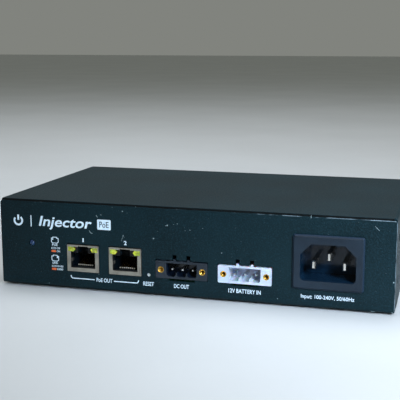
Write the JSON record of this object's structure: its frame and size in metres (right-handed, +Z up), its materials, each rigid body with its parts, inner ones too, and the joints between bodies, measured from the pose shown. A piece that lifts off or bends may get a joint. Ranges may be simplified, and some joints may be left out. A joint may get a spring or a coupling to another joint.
{
  "type": "power over ethernet injector",
  "caption": "Flat dark sheet-steel box that feeds power over network cables; front panel with network jacks, pluggable power headers, mains inlet, status light and reset button.",
  "frame": {"origin": "bottom centre of the whole object's box, on the surface that the feet stand on", "axes": "+X to the right of the front panel, +Y from the front panel to the rear, +Z up"},
  "size_m": [0.192, 0.1182, 0.044],
  "materials": {
    "powder_coat": "matt fine-textured powder coat on sheet steel",
    "zinc_steel": "zinc-plated steel",
    "black_screw": "black zinc",
    "rubber": "matt moulded rubber",
    "film": "translucent polyester film",
    "board_laminate": "solder mask on glass-fibre laminate",
    "black_nylon": "moulded glass-filled nylon",
    "white_nylon": "moulded nylon",
    "tinned_pin": "tin plate",
    "brass_insert": "turned brass",
    "inlet_plastic": "moulded thermoplastic, fine texture",
    "nickel_blade": "nickel-plated brass",
    "clear_nylon": "natural nylon",
    "brown_wire": "PVC insulation",
    "blue_wire": "PVC insulation",
    "green_wire": "PVC insulation, green with a yellow stripe",
    "blue_lens": "tinted clear epoxy",
    "button_plastic": "moulded nylon",
    "fuse_glass": "glass tube with plated caps",
    "ferrite": "sintered ferrite",
    "powder_core": "painted iron powder",
    "enamelled_copper": "enamelled copper wire",
    "film_capacitor_case": "filled plastic box",
    "disc_capacitor_coat": "dipped epoxy",
    "moulding_epoxy": "moulded epoxy",
    "capacitor_sleeve": "shrink sleeve on an aluminium can",
    "winding_tape": "polyester tape",
    "heat_sink_aluminium": "extruded",
    "relay_case": "moulded",
    "nickel_shield": "nickel-plated sheet",
    "jack_plastic": "moulded thermoplastic",
    "gilt_contact": "gold flash",
    "yellow_lens": "tinted clear plastic"
  },
  "bodies": {
    "case": {"base_chassis": "powder_coat", "top_cover": "powder_coat", "cover_rail": "zinc_steel", "cover_screws": "black_screw", "rubber_feet": "rubber", "insulation_sheet": "film", "board_standoffs": "zinc_steel", "board_screws": "zinc_steel", "main_board": "board_laminate", "dc_out_housing": "black_nylon", "dc_out_pins": "tinned_pin", "dc_out_inserts": "brass_insert", "battery_housing": "white_nylon", "battery_pins": "tinned_pin", "battery_inserts": "brass_insert", "ac_inlet_housing": "inlet_plastic", "ac_inlet_pins": "nickel_blade", "terminal_sleeves": "clear_nylon", "live_wire": "brown_wire", "neutral_wire": "blue_wire", "earth_wire": "green_wire", "earth_lug": "tinned_pin", "earth_screw": "zinc_steel", "earth_nut": "zinc_steel", "status_led": "blue_lens", "status_led_holder": "black_nylon", "status_led_legs": "tinned_pin", "reset_switch_body": "black_nylon", "reset_switch_frame": "tinned_pin", "mains_fuse": "fuse_glass", "fuse_clips": "tinned_pin", "emi_choke_core": "ferrite", "emi_choke_windings": "enamelled_copper", "x_capacitor": "film_capacitor_case", "y_capacitors": "disc_capacitor_coat", "bridge_rectifier": "moulding_epoxy", "bulk_capacitor": "capacitor_sleeve", "transformer_core": "ferrite", "transformer_winding": "winding_tape", "primary_heat_sink": "heat_sink_aluminium", "switching_transistor": "moulding_epoxy", "secondary_heat_sink": "heat_sink_aluminium", "rectifier_diode": "moulding_epoxy", "output_capacitors": "capacitor_sleeve", "output_inductor_core": "powder_core", "output_inductor_winding": "enamelled_copper", "battery_relay": "relay_case", "lan_transformers": "moulding_epoxy", "optocoupler": "moulding_epoxy", "control_chips": "moulding_epoxy", "jack_1_shield": "nickel_shield", "jack_1_housing": "jack_plastic", "jack_1_contacts": "gilt_contact", "jack_1_led_lenses": "yellow_lens", "jack_2_shield": "nickel_shield", "jack_2_housing": "jack_plastic", "jack_2_contacts": "gilt_contact", "jack_2_led_lenses": "yellow_lens"},
    "reset_button": {"reset_plunger": "button_plastic"}
  },
  "joints": [
    {"name": "reset_press", "type": "slide", "parent": "case", "child": "reset_button", "axis": [0, 1, 0], "range_m": [0, 0.00025], "stiffness_N_per_m": 8000, "springref_m": -0.0001}
  ]
}
